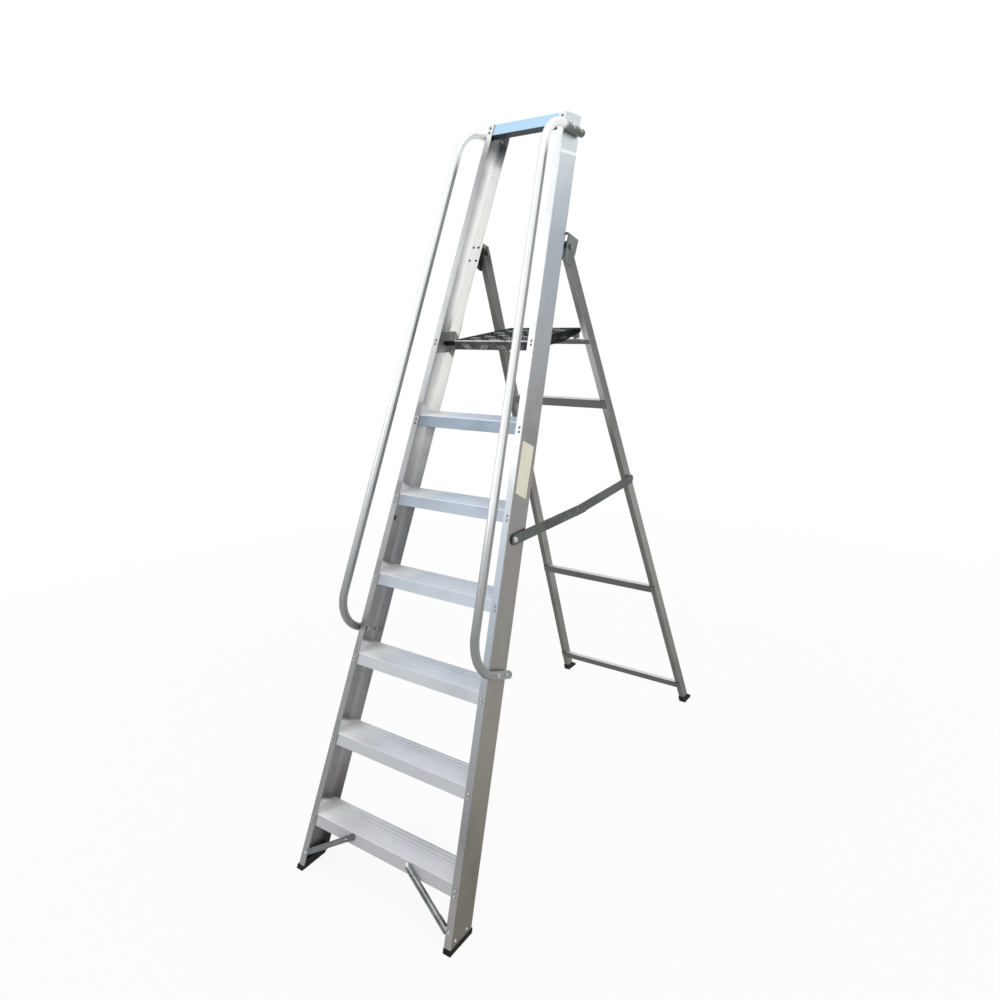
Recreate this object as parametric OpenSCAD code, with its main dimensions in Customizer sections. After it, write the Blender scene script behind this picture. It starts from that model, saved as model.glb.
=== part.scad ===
// Platform step ladder: a leaning front frame with six ribbed treads and
// two tubular handrails, a folding rear frame, a chequer plate platform
// that swings up, and a two-piece folding stay on the right-hand side.
// Millimetres. +Z is up, the climber faces +Y, +X is the climber's right.
// The origin lies on the floor, midway between the front and rear feet.

/* [Frame] */
// Height of the stile tops above the floor
height = 2216; // [1700:1:2800]
// Width over the front stiles at the floor
base_width = 602.6; // [450:0.2:800]
// Lean of the front frame from upright, degrees
front_lean = 21.74; // [14:0.01:28]
// Lean of the rear frame from upright, degrees
rear_lean = 22.73; // [14:0.01:28]
// Inward slope of each stile and rear leg, degrees
taper = 3.8; // [0:0.1:6]

/* [Stiles] */
// Depth of the stile channel, front to back
stile_d = 88.3; // [60:0.1:120]
// Width of the stile flanges
stile_f = 24; // [18:0.5:40]
// Wall of the stile channel
stile_t = 2.5; // [1.5:0.1:4]
// Outer corner radius of the stile channel
stile_r = 4; // [2.6:0.1:8]

/* [Treads] */
// Number of treads below the platform
tread_count = 6; // [6]
// Rise from tread to tread
tread_pitch = 235; // [200:1:300]
// Height of the first tread's top
first_tread = 164; // [120:1:300]
// Height of a tread's front and rear face, along the slope
tread_face = 35; // [25:1:60]
// Wall of the tread section
tread_t = 2.4; // [1.5:0.1:4]
// Height of the ribs on the tread's top
rib_h = 0.7; // [0.3:0.1:3]
// Number of ribs on a tread
rib_count = 4; // [2:1:8]

/* [Top bar] */
// Height of the top bar's front face
bar_h = 35; // [20:1:60]
// Depth of the top bar
bar_d = 26; // [15:1:40]

/* [Handrails] */
// Tube diameter of the handrails
rail_d = 25; // [18:0.5:40]
// Tube wall of the handrails
rail_t = 2; // [1:0.1:4]
// Distance of the rail's centre line in front of the stile
rail_front = 109; // [60:1:160]
// Slope distance of the lower end
rail_low = 739; // [500:1:1000]
// Slope distance of the upper corner
rail_top = 2308; // [1800:1:2360]
// Rise of the upper end above square to the stile, per unit of its length
rail_rise = 0.28; // [0:0.01:0.4]
// Bend radius at the lower end
rail_low_r = 107; // [50:1:120]
// Bend radius at the upper end
rail_top_r = 112; // [50:1:130]
// How far back the tube ends reach
rail_end = 80; // [60:1:120]
// How much further back the left handrail is bolted
rail_left_back = 20; // [0:1:30]
// How much higher the left handrail is bolted
rail_left_up = 20; // [0:1:30]

/* [Front feet] */
// Thickness of the boot under the stile
boot_h = 13; // [8:1:30]
// Height of the boot's upstand inside the channel
boot_up = 30; // [20:1:80]
// Overhang of the boot round the stile
boot_over = 1.5; // [0:0.1:4]

/* [Base braces] */
// Width of the brace channel
brace_w = 17; // [14:0.5:30]
// Depth of the brace channel
brace_d = 9; // [5:0.5:16]
// Distance of the lower end from the middle
brace_x0 = 281; // [240:1:300]
// Slope distance of the lower end
brace_s0 = 53.5; // [40:0.5:80]
// Distance of the upper end from the middle
brace_x1 = 109; // [60:1:160]
// Slope distance of the upper end
brace_s1 = 164; // [150:0.5:170]

/* [Rear hinge] */
// Slope distance of the hinge
hinge_s = 2017; // [1700:1:2200]
// Distance of the hinge behind the front face of the stile
hinge_b = 118; // [105:0.5:140]
// Radius of the hinge pin
hinge_r = 5; // [4:0.5:8]
// Thickness of the hinge bracket
bracket_t = 3; // [2:0.5:6]
// Outer face of the hinge bracket from the middle
bracket_x = 171.5; // [160:0.5:180]
// Reach of the hinge bracket behind the front face of the stile
bracket_b = 155; // [140:1:175]

/* [Rear frame] */
// Outer face of the leg from the middle, at the hinge
leg_x = 163.5; // [150:0.5:170]
// Width of the leg tube
leg_w = 19.4; // [15:0.2:30]
// Depth of the leg tube
leg_d = 37; // [28:0.5:50]
// Wall of the leg tube
leg_t = 2; // [1.2:0.1:3]
// Height of a cross bar's front face
cross_h = 30; // [20:1:50]
// Depth of a cross bar's top flange
cross_d = 15; // [10:1:30]
// Wall of a cross bar
cross_t = 2.5; // [1.5:0.1:4]
// Height of the lower cross bar's top
cross_low = 104; // [60:1:200]
// Height of the middle cross bar's top
cross_mid = 591; // [400:1:800]
// Height of the upper cross bar's top
cross_up = 1344; // [1000:1:1450]
// Height of the platform rest bar's top
cross_rest = 1546; // [1500:1:1560]
// Thickness of the rear foot under the leg
rear_pad = 9; // [5:1:15]
// Height of the rear foot's socket
rear_boot = 24; // [15:1:40]

/* [Platform] */
// Slope distance of the platform pivot
deck_s = 1690; // [1600:1:1720]
// Distance of the platform pivot behind the front face of the stile
deck_b = 55; // [35:1:60]
// Rise of the platform to the rear, degrees
deck_tilt = 4.7; // [0:0.1:8]
// Width of the platform
deck_w = 277; // [220:1:285]
// Length of the platform, front to rear
deck_l = 314; // [250:1:320]
// Sheet thickness of the platform
deck_t = 2.5; // [1.5:0.1:4]
// Depth of the platform's turned-down edges
deck_h = 30; // [20:1:40]
// Distance of the platform's front edge ahead of its pivot
deck_nose = 11; // [8:0.5:20]
// Height of the platform's top above its pivot
deck_top = 12.5; // [10:0.5:18]
// Height of the lower edge of the platform's pivot brackets
pivot_low = 1521; // [1480:1:1530]
// Height of the upper edge of the platform's pivot brackets
pivot_high = 1585; // [1570:1:1620]

/* [Stay] */
// Slope distance of the stay's front pivot
stay_s = 1113; // [1000:1:1200]
// Distance of the front pivot behind the front face of the stile
stay_b = 32; // [20:1:60]
// Distance of the rear pivot below the hinge, along the leg
stay_q = 843.5; // [700:0.5:900]
// Distance of the middle pivot behind the front foot's toe
stay_my = 842; // [830:1:848]
// Height of the middle pivot
stay_mz = 1026; // [1015:0.5:1036]
// Width of the stay bars
stay_w = 32; // [18:1:35]
// Thickness of the stay bars
stay_t = 3; // [2:0.5:5]
// Inner face of the front bar from the middle
stay_x = 229.5; // [228.5:0.5:240]
// Reach of the rear bar past the middle pivot, up to its stop rivet
stay_tail = 48; // [30:1:90]

/* [Hidden] */

$fn = 48;
alu = [0.80, 0.82, 0.85];
alu_dull = [0.55, 0.56, 0.56];
steel = [0.24, 0.27, 0.27];
zinc = [0.62, 0.68, 0.69];
black = [0.07, 0.07, 0.07];
plate = [0.36, 0.37, 0.38];

half = base_width / 2;
ca = cos(front_lean);
sa = sin(front_lean);
cr = cos(rear_lean);
sr = sin(rear_lean);
rail_tilt = asin(rail_rise);
top_s = height / ca;

// Floor position and height of a point given by slope distance and depth.
function lean_y(s, b) = s * sa + b * ca;
function lean_z(s, b) = s * ca - b * sa;
// Outer and inner face of the stile's web at a slope distance.
function web_x(s) = half - s * tan(taper);
function web_in(s) = web_x(s) - stile_t / cos(taper);
// Slope distance of a tread's top at its front face.
function tread_s(n) = (first_tread + (n - 1) * tread_pitch) / ca + stile_t * tan(front_lean);

hinge_y = lean_y(hinge_s, hinge_b);
hinge_z = lean_z(hinge_s, hinge_b);
leg_len = hinge_z / cr + 60;
leg_floor = hinge_y + hinge_z * tan(rear_lean);
leg_front = leg_floor - leg_d / 2 / cr;
leg_back = leg_floor + leg_d / 2 / cr;
toe = 18;
front_end = -boot_over / ca;
rear_end = leg_back + toe;
y_mid = (front_end + rear_end) / 2;

deck_y = lean_y(deck_s, deck_b);
deck_z = lean_z(deck_s, deck_b);

stay_ay = lean_y(stay_s, stay_b);
stay_az = lean_z(stay_s, stay_b);
stay_by = hinge_y + stay_q * sr;
stay_bz = hinge_z - stay_q * cr;
stay_a1 = atan2(stay_mz - stay_az, stay_my - stay_ay);
stay_a2 = atan2(stay_mz - stay_bz, stay_my - stay_by);
stay_l1 = norm([stay_my - stay_ay, stay_mz - stay_az]);
stay_l2 = norm([stay_my - stay_by, stay_mz - stay_bz]);

// Frame of the leaning front: x across, y into the stile, z up the slope.
module lean() {
  translate([0, -y_mid, 0]) rotate([-front_lean, 0, 0]) children();
}

// Frame of one stile: x outwards from the web's outer face, z along the stile.
module stile_side(side) {
  lean() mirror([side < 0 ? 1 : 0, 0, 0]) translate([half, 0, 0]) rotate([0, -taper, 0]) children();
}

// Frame of the rear legs at the hinge: z up along the leg, y square to it.
module rear() {
  translate([0, hinge_y - y_mid, hinge_z]) rotate([rear_lean, 0, 0]) children();
}

// Frame of one rear leg: x outwards from the leg's outer face.
module leg_side(side) {
  rear() mirror([side < 0 ? 1 : 0, 0, 0]) translate([leg_x, 0, 0]) rotate([0, -taper, 0]) children();
}

// Frame of the platform at its pivot: y along the plate, z square to it.
module deck() {
  translate([0, deck_y - y_mid, deck_z]) rotate([deck_tilt, 0, 0]) children();
}

// Turns a drawing of depth and height into a sheet that thickens along +X.
module across() {
  rotate([90, 0, 90]) children();
}

// A level slab of space between two heights.
module slab(z0, z1) {
  translate([-700, -1500, z0]) cube([1400, 3000, z1 - z0]);
}

// A bar with round ends between two points, drawn flat.
module stadium(len, wid) {
  translate([0, -wid / 2]) square([len, wid]);
  circle(d = wid);
  translate([len, 0]) circle(d = wid);
}

// The head of a solid rivet, standing along +Z.
module rivet_head(r = 4.4, h = 2.2) {
  cylinder(h = h, r1 = r, r2 = r * 0.62, $fn = 20);
}

// Channel section of the stile, open to the inside.
module stile_section() {
  difference() {
    union() {
      translate([-stile_f, 0]) square([stile_f - stile_r, stile_d]);
      translate([-stile_r, stile_r]) square([stile_r, stile_d - 2 * stile_r]);
      translate([-stile_r, stile_r]) circle(r = stile_r);
      translate([-stile_r, stile_d - stile_r]) circle(r = stile_r);
    }
    translate([-stile_f - 1, stile_t]) square([stile_f - stile_t + 1, stile_d - 2 * stile_t]);
  }
}

// Offset of a side's handrail: depth and slope distance.
function rail_shift(side) = side < 0 ? [rail_left_back, rail_left_up] : [0, 0];

// Centres of a handrail's bolts: depth and slope distance along the stile.
function rail_bolts(side) = [for (p = [
  [10, rail_low], [52, rail_low],
  [15, rail_top + (15 + rail_front) * tan(rail_tilt)],
  [56, rail_top + (56 + rail_front) * tan(rail_tilt)]]) p + rail_shift(side)];

module stile(side) {
  color(alu) difference() {
    intersection() {
      stile_side(side) translate([0, 0, -60]) linear_extrude(top_s + 200) stile_section();
      slab(boot_h, height);
    }
    for (p = rail_bolts(side))
      stile_side(side) translate([-stile_t - 1, p[0], p[1]]) rotate([0, 90, 0])
        cylinder(h = stile_t + 2, r = 4.05);
    lean() translate([side * (web_in(stay_s) - 4), stay_b, stay_s]) rotate([0, side * 90, 0])
      cylinder(h = 10, r = 5.05);
  }
}

// Space between the two webs, as deep as the stile.
module between_webs() {
  lean() translate([0, stile_d + 50, 0]) rotate([90, 0, 0]) linear_extrude(stile_d + 100)
    polygon([[-web_in(-50), -50], [web_in(-50), -50],
      [web_in(top_s + 60), top_s + 60], [-web_in(top_s + 60), top_s + 60]]);
}

// Outline of one rib on the level top, at a depth behind the tread's nose.
function rib(b) = [for (p = [[-1.3, 0], [-1.3, rib_h], [1.3, rib_h], [1.3, 0]])
  [b + p[0] * ca - p[1] * sa, b * tan(front_lean) + p[0] * sa + p[1] * ca]];

// Tread section: level ribbed top, front and rear faces that follow the flanges,
// and a lip at the foot of both faces. The ribs lie over the rear half.
module tread_section() {
  depth = stile_d - 2 * stile_t;
  k = tan(front_lean);
  rise = depth * k;
  tv = tread_t / ca;
  lip = 7;
  ribs = [for (i = [0 : rib_count - 1]) let (f = i / (rib_count - 1))
    each rib(depth * (0.5 + 0.44 * f))];
  polygon(concat(
    [[0, -tread_face], [0, 0]],
    ribs,
    [[depth, rise], [depth, rise - tread_face], [depth - lip, rise - tread_face],
     [depth - lip, rise - tread_face + tread_t], [depth - tread_t, rise - tread_face + tread_t],
     [depth - tread_t, (depth - tread_t) * k - tv], [tread_t, tread_t * k - tv],
     [tread_t, tread_t - tread_face], [lip, tread_t - tread_face], [lip, -tread_face]]));
}

module tread(n) {
  color(alu) intersection() {
    lean() translate([-half - 20, stile_t, tread_s(n)]) across()
      linear_extrude(base_width + 40) tread_section();
    between_webs();
  }
}

module tread_1() tread(1);
module tread_2() tread(2);
module tread_3() tread(3);
module tread_4() tread(4);
module tread_5() tread(5);
module tread_6() tread(6);

// Channel across the stile tops, open to the rear.
module top_bar() {
  color(alu) intersection() {
    lean() translate([-half, stile_t, top_s - bar_h - 1]) across() linear_extrude(base_width) difference() {
      square([bar_d, bar_h]);
      translate([2.5, 2.5]) square([bar_d, bar_h - 5]);
    }
    between_webs();
  }
}

// Solid run of a handrail at a given diameter; its ends are drawn out by a little.
// Each stretch is placed from the bend before it, so that the ends meet exactly.
module rail_run(d, extra) {
  turn = 90 - rail_tilt;
  tan_len = rail_top_r * tan(turn / 2);
  run = rail_top - tan_len - rail_low - rail_low_r;
  end_run = (rail_end + rail_front - tan_len * cos(rail_tilt)) / cos(rail_tilt);
  translate([0, -rail_front, rail_low + rail_low_r]) {
    cylinder(h = run, d = d);
    translate([0, rail_low_r, 0]) {
      across() rotate(180) rotate_extrude(angle = 90) translate([rail_low_r, 0]) circle(d = d);
      translate([0, 0, -rail_low_r]) rotate([-90, 0, 0])
        cylinder(h = rail_end + rail_front - rail_low_r + extra, d = d);
    }
    translate([0, rail_top_r, run]) {
      across() rotate(180) rotate_extrude(angle = -turn) translate([rail_top_r, 0]) circle(d = d);
      rotate([-turn, 0, 0]) translate([0, -rail_top_r, 0]) cylinder(h = end_run + extra, d = d);
    }
  }
}

// Handrail tube: two bends and three straights beside the stile's web.
// The tube is symmetric about its own plane, so both sides are the mirror image of one run.
module handrail(side) {
  v = rail_shift(side);
  color(alu) stile_side(side) translate([rail_d / 2 + 0.2, 0, 0])
  mirror([side > 0 ? 1 : 0, 0, 0]) difference() {
    translate([0, v[0], v[1]]) rail_run(rail_d, 0);
    translate([0, v[0], v[1]]) rail_run(rail_d - 2 * rail_t, 1);
    for (p = rail_bolts(side))
      translate([-rail_d, p[0], p[1]]) rotate([0, 90, 0]) cylinder(h = 2 * rail_d, r = 4.05);
  }
}

// Bolts through the handrail ends and the web, nut inside the channel.
module handrail_bolts() {
  color(zinc) for (side = [-1, 1]) for (p = rail_bolts(side))
    stile_side(side) translate([0, p[0], p[1]]) rotate([0, 90, 0]) {
      translate([0, 0, -stile_t - 8]) cylinder(h = rail_d + stile_t + 9, r = 4);
      translate([0, 0, -stile_t - 6]) cylinder(h = 6, r = 6, $fn = 6);
      translate([0, 0, rail_d + 0.25]) cylinder(h = 4, r1 = 7, r2 = 4.5);
    }
}

// Rubber boot under a stile, with an upstand inside the channel.
module foot_front(side) {
  o = boot_over;
  color(black) {
    intersection() {
      stile_side(side) translate([0, 0, -60]) linear_extrude(200)
        polygon([[-stile_f, -o], [o, -o], [o, stile_d + o], [7 - stile_f, stile_d + o]]);
      slab(0, boot_h);
    }
    intersection() {
      stile_side(side) translate([-stile_f, stile_t, -60])
        cube([stile_f - stile_t, stile_d - 2 * stile_t, 200]);
      slab(boot_h, boot_up);
    }
  }
}

module foot_rivets() {
  color(zinc) for (side = [-1, 1]) for (p = [[14, 38], [62, 54]])
    stile_side(side) translate([0, p[0], p[1]]) rotate([0, 90, 0]) rivet_head(4);
}

// Length and slope of a brace.
brace_len = norm([brace_x1 - brace_x0, brace_s1 - brace_s0]);
brace_a = atan2(brace_s1 - brace_s0, brace_x1 - brace_x0);

// Frame of a brace: x along it, y across it, z forward from the stile's front face.
module brace_frame(side) {
  lean() mirror([side < 0 ? 1 : 0, 0, 0]) translate([brace_x0, 0, brace_s0])
    rotate([0, -brace_a, 0]) rotate([90, 0, 0]) children();
}

// Pressed channel on the first tread's face, with a tab behind the stile's flange.
module brace(side) {
  z0 = -stile_t + 0.05;
  color(zinc) {
    difference() {
      brace_frame(side) difference() {
        union() {
          translate([0, 0, z0]) linear_extrude(2) stadium(brace_len, brace_w);
          for (v = [-brace_w / 2, brace_w / 2 - 2]) translate([0, v, z0]) cube([brace_len, 2, brace_d]);
        }
        translate([brace_len - 26, 0, z0 - 1]) cylinder(h = 4, r = 3.05);
      }
      stile_side(side) translate([-stile_f - 0.5, -40, -60]) cube([stile_f + 60, 80, 300]);
    }
    difference() {
      brace_frame(side) translate([0, 0, -stile_t - 2.1]) linear_extrude(2.15) stadium(44, brace_w);
      stile_side(side) translate([-stile_f - 0.5, -1, -60]) cube([stile_f + 60, stile_t + 1.05, 300]);
    }
  }
}

module brace_bolts() {
  color(zinc) for (side = [-1, 1]) brace_frame(side) {
    rivet_head(5, 2.4);
    translate([brace_len - 26, 0, -stile_t]) cylinder(h = stile_t, r = 3);
    translate([brace_len - 26, 0, -stile_t + 2.05]) rivet_head(5, 2.4);
  }
}

// Two rivets through each flange at each tread end, the top bar and the platform brackets.
module tread_rivets() {
  color(zinc) for (side = [-1, 1]) lean() {
    for (n = [1 : tread_count]) for (drop = [15, 28]) {
      s = tread_s(n) - drop;
      translate([side * (web_x(s) - stile_f / 2), 0, s]) rotate([90, 0, 0]) rivet_head();
      r = s + (stile_d - 2 * stile_t) * tan(front_lean);
      translate([side * (web_x(r) - stile_f / 2), stile_d, r]) rotate([-90, 0, 0]) rivet_head();
    }
    for (s = [top_s - 12, top_s - 27, deck_s - 8, deck_s - 20])
      translate([side * (web_x(s) - stile_f / 2), 0, s]) rotate([90, 0, 0]) rivet_head();
  }
}

// Steel angle on the stile's rear flange that carries the hinge pin, slotted along its bend.
module hinge_bracket(side) {
  color(steel) lean() mirror([side < 0 ? 1 : 0, 0, 0]) difference() {
    union() {
      translate([bracket_x - bracket_t, 0, hinge_s]) across() linear_extrude(bracket_t)
        polygon([[stile_d, -52], [stile_d, 33],
          [bracket_b, 38], [bracket_b - 2, -8], [bracket_b - 14, -52]]);
      translate([bracket_x - 25, stile_d, hinge_s - 52]) cube([25, bracket_t, 85]);
    }
    translate([bracket_x - 8, stile_d - 1, hinge_s - 45]) cube([9, 9, 71]);
    translate([bracket_x - 10, hinge_b, hinge_s]) rotate([0, 90, 0]) cylinder(h = 20, r = hinge_r + 0.05);
  }
}

module bracket_rivets() {
  color(zinc) for (side = [-1, 1]) lean() for (s = [hinge_s - 40, hinge_s + 4]) {
    translate([side * (bracket_x - 17), stile_d - stile_t, s]) rotate([90, 0, 0]) rivet_head();
    translate([side * (bracket_x - 17), stile_d + bracket_t, s]) rotate([-90, 0, 0]) rivet_head();
  }
}

// Hinge bolt: head outside the bracket, spacing collar, shank through the leg and nut.
module hinge_pin(side) {
  inner = leg_x - leg_w - 1.3;
  color(zinc) translate([0, hinge_y - y_mid, hinge_z]) mirror([side < 0 ? 1 : 0, 0, 0]) rotate([0, 90, 0]) {
    translate([0, 0, inner - 9]) cylinder(h = bracket_x - inner + 10, r = hinge_r);
    translate([0, 0, bracket_x]) cylinder(h = 5, r = 8.5, $fn = 6);
    translate([0, 0, leg_x + 1]) cylinder(h = bracket_x - bracket_t - leg_x - 1, r = 9);
    translate([0, 0, inner - 7]) cylinder(h = 7, r = 8.5, $fn = 6);
  }
}

// Steel angle inside the channel that carries the platform pin.
module platform_bracket(side) {
  color(steel) difference() {
    intersection() {
      stile_side(side) translate([0, stile_t, deck_s - 150]) {
        translate([-stile_t - 3, 0, 0]) cube([3, stile_d - 2 * stile_t - 2, 300]);
        translate([-stile_f + 2, 0, 0]) cube([stile_f - stile_t - 2, 3, 300]);
      }
      slab(pivot_low, pivot_high);
    }
    translate([side * 160, deck_y - y_mid, deck_z]) rotate([0, side * 90, 0]) cylinder(h = 40, r = 5.02);
  }
}

// Platform pin: bush between the bracket and the platform's side, and a retaining head.
module platform_pin(side) {
  edge = deck_w / 2;
  color(black) {
    translate([0, deck_y - y_mid, deck_z]) mirror([side < 0 ? 1 : 0, 0, 0]) rotate([0, 90, 0]) {
      translate([0, 0, edge - 12]) cylinder(h = web_in(deck_s) - 1 - edge + 12, r = 5);
      translate([0, 0, edge - 11]) cylinder(h = 8, r = 8);
    }
    difference() {
      translate([0, deck_y - y_mid, deck_z]) mirror([side < 0 ? 1 : 0, 0, 0]) rotate([0, 90, 0])
        translate([0, 0, edge + 0.4]) cylinder(h = web_in(deck_s) - edge, r = 8);
      stile_side(side) translate([-stile_t - 3, -5, deck_s - 60]) cube([30, 110, 140]);
    }
  }
}

// Cut that trims a stay bolt's collar and nut to the web's two faces.
module web_slab(side) {
  stile_side(side) translate([-stile_t, 0, stay_s - 100]) cube([stile_t, stile_d, 200]);
}

// Bolt through the right web that carries the stay's front bar.
module stay_bolt_front() {
  w = web_in(stay_s);
  color(zinc) {
    translate([0, stay_ay - y_mid, stay_az]) rotate([0, 90, 0]) {
      translate([0, 0, w - 9]) cylinder(h = stay_x + stay_t - w + 10, r = 5);
      translate([0, 0, stay_x + stay_t + 0.4]) cylinder(h = 4.5, r1 = 9, r2 = 6.5);
    }
    difference() {
      translate([0, stay_ay - y_mid, stay_az]) rotate([0, 90, 0]) {
        translate([0, 0, w + 1]) cylinder(h = stay_x - 0.4 - w - 1, r = 8.5);
        translate([0, 0, w - 7]) cylinder(h = 8, r = 8.5, $fn = 6);
      }
      web_slab(1);
    }
  }
}

// Matching bolt in the left web.
module stay_bolt_left() {
  w = web_in(stay_s);
  color(zinc) {
    translate([0, stay_ay - y_mid, stay_az]) rotate([0, -90, 0])
      translate([0, 0, w - 9]) cylinder(h = 14, r = 5);
    difference() {
      translate([0, stay_ay - y_mid, stay_az]) rotate([0, -90, 0]) {
        translate([0, 0, w + 1]) cylinder(h = 6, r1 = 9, r2 = 6.5);
        translate([0, 0, w - 7]) cylinder(h = 8, r = 8.5, $fn = 6);
      }
      web_slab(-1);
    }
  }
}

// Rear leg: rectangular tube with a round closed top at the hinge.
module leg(side) {
  color(alu_dull) difference() {
    intersection() {
      leg_side(side) {
        translate([-leg_w, -leg_d / 2, -leg_len]) cube([leg_w, leg_d, leg_len]);
        translate([-leg_w, 0, 0]) rotate([0, 90, 0]) cylinder(h = leg_w, d = leg_d);
      }
      slab(rear_pad, 3000);
    }
    leg_side(side) {
      translate([leg_t - leg_w, leg_t - leg_d / 2, -leg_len - 1])
        cube([leg_w - 2 * leg_t, leg_d - 2 * leg_t, leg_len + 1]);
      translate([leg_t - leg_w, 0, 0]) rotate([0, 90, 0])
        cylinder(h = leg_w - 2 * leg_t, d = leg_d - 2 * leg_t);
    }
    rear() translate([side * 130, 0, 0]) rotate([0, side * 90, 0]) cylinder(h = 50, r = hinge_r + 0.06);
    if (side > 0) rear() translate([leg_x + 40, 0, -stay_q]) rotate([0, 90, 0]) cylinder(h = 30, r = 4.05);
  }
}

// Distance along the leg of a level height on the leg's front face.
function leg_at(z) = (z - hinge_z + (leg_d / 2 + cross_t) * sr) / cr;
// Outer and inner face of the leg at that distance.
function leg_out(q) = leg_x - q * tan(taper);
function leg_inn(q) = leg_out(q) - leg_w / cos(taper);

// Angle bar across the front of the rear legs, flange turned back between them.
module cross_bar(z, h) {
  q = leg_at(z);
  color(alu_dull) rear() {
    translate([0, -leg_d / 2, 0]) rotate([90, 0, 0]) linear_extrude(cross_t)
      polygon([[-leg_out(q), q], [leg_out(q), q], [leg_out(q - h), q - h], [-leg_out(q - h), q - h]]);
    translate([-leg_inn(q) + 1, -leg_d / 2, q - cross_t])
      cube([2 * leg_inn(q) - 2, cross_d - cross_t, cross_t]);
  }
}

module cross_bar_upper() cross_bar(cross_up, cross_h);
module cross_bar_middle() cross_bar(cross_mid, cross_h);
module cross_bar_lower() cross_bar(cross_low, cross_h - 2);
module platform_rest() cross_bar(cross_rest, 12);

// Rubber foot of a rear leg: socket round the tube, long flat sole.
module foot_rear(side) {
  xo = leg_out(-hinge_z / cr);
  color(black) difference() {
    union() {
      intersection() {
        leg_side(side) translate([-leg_w - 2.5, -leg_d / 2 - 2.5, -leg_len - 40])
          cube([leg_w + 5, leg_d + 5, leg_len]);
        slab(0, rear_boot);
      }
      mirror([side < 0 ? 1 : 0, 0, 0]) translate([xo - leg_w - 3, leg_front - 3 - y_mid, 0])
        cube([leg_w + 6, leg_back - leg_front + 3 + toe, rear_pad]);
    }
    intersection() {
      leg_side(side) translate([-leg_w, -leg_d / 2, -leg_len - 40]) cube([leg_w, leg_d, leg_len]);
      slab(rear_pad, 100);
    }
  }
}

module rear_rivets() {
  color(zinc) for (side = [-1, 1]) rear()
    for (p = [[cross_up, [7, 23]], [cross_mid, [7, 23]], [cross_low, [7, 21]], [cross_rest, [6]]])
    for (v = p[1]) {
      q = leg_at(p[0]) - v;
      translate([side * (leg_out(q) - leg_w / 2), -leg_d / 2 - cross_t, q]) rotate([90, 0, 0])
        rivet_head(4, 2);
    }
}

// Bolt through the leg's outer wall that carries the stay's rear bar.
module stay_bolt_rear() {
  x0 = leg_out(-stay_q);
  x1 = stay_x - 0.5;
  color(zinc) {
    rear() translate([0, 0, -stay_q]) rotate([0, 90, 0]) {
      translate([0, 0, x0 - 10]) cylinder(h = x1 - x0 + 10, r = 4);
    }
    difference() {
      rear() translate([0, 0, -stay_q]) rotate([0, 90, 0])
        translate([0, 0, x0 - 1]) cylinder(h = x1 - stay_t - 0.4 - x0 + 1, r = 8);
      leg_side(1) translate([-leg_w, -leg_d, -stay_q - 60]) cube([leg_w, 2 * leg_d, 120]);
    }
  }
}

// Bent sheet of the platform, seen from the side: level top and front edge.
module deck_section() {
  r = 5;
  translate([r - deck_nose, deck_top - deck_t]) square([deck_l - r, deck_t]);
  translate([-deck_nose, deck_top - deck_h]) square([deck_t, deck_h - r]);
  intersection() {
    translate([r - deck_nose, deck_top - r]) difference() {
      circle(r = r);
      circle(r = r - deck_t);
    }
    translate([-deck_nose, deck_top - r]) square([r, r]);
  }
  translate([deck_l - deck_nose - deck_t, deck_top - 14]) square([deck_t, 14]);
}

// Outline of the platform's side edge, cut away below towards the rear.
module deck_side() {
  y0 = deck_t - deck_nose;
  y1 = deck_l - deck_nose - deck_t;
  polygon([[y0, deck_top - deck_h], [190, deck_top - deck_h], [y1, deck_top - 14],
    [y1, deck_top - deck_t], [y0, deck_top - deck_t]]);
}

// Tray folded from chequer plate.
module platform_deck() {
  color(plate) deck() difference() {
    union() {
      translate([-deck_w / 2, 0, 0]) across() linear_extrude(deck_w) deck_section();
      for (x = [-deck_w / 2, deck_w / 2 - deck_t])
        translate([x, 0, 0]) across() linear_extrude(deck_t) deck_side();
    }
    translate([-deck_w, 0, 0]) rotate([0, 90, 0]) cylinder(h = 2 * deck_w, r = 5.06);
  }
}

// Steel rest riveted inside the platform's side edge, seated on the rest bar.
module platform_hook(side) {
  color(steel) deck() mirror([side < 0 ? 1 : 0, 0, 0])
    translate([deck_w / 2 - deck_t - 3, 0, 0]) across() linear_extrude(3)
      polygon([[96, 6], [294, 6], [298, 2], [298, -19.3], [266, -19.3], [256, -11], [96, -11]]);
}

module platform_rivets() {
  color(zinc) deck() for (side = [-1, 1]) for (y = [116, 176])
    translate([side * deck_w / 2, y, -4]) rotate([0, side * 90, 0]) rivet_head(4.5, 2);
}

// Front half of the folding stay, the outer layer at the middle.
module stay_front_bar() {
  color(steel) translate([stay_x, stay_ay - y_mid, stay_az]) across() rotate(stay_a1)
  linear_extrude(stay_t) difference() {
    stadium(stay_l1, stay_w);
    circle(r = 5.05);
  }
}

// Heads of the pivot rivet and the stop rivet, seated on the front bar.
module stay_rivets() {
  color(zinc) translate([stay_x + stay_t, stay_ay - y_mid, stay_az]) across() rotate(stay_a1)
  for (u = [0, stay_tail])
    translate([stay_l1 - u, 0, 0]) rivet_head(5.5, 2.2);
}

// Rear half of the folding stay, next to the leg.
module stay_rear_bar() {
  color(steel) translate([stay_x - 0.5 - stay_t, stay_by - y_mid, stay_bz]) across() rotate(stay_a2)
    linear_extrude(stay_t) difference() {
      stadium(stay_l2 + stay_tail, stay_w);
      circle(r = 4.05);
    }
}

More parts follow.
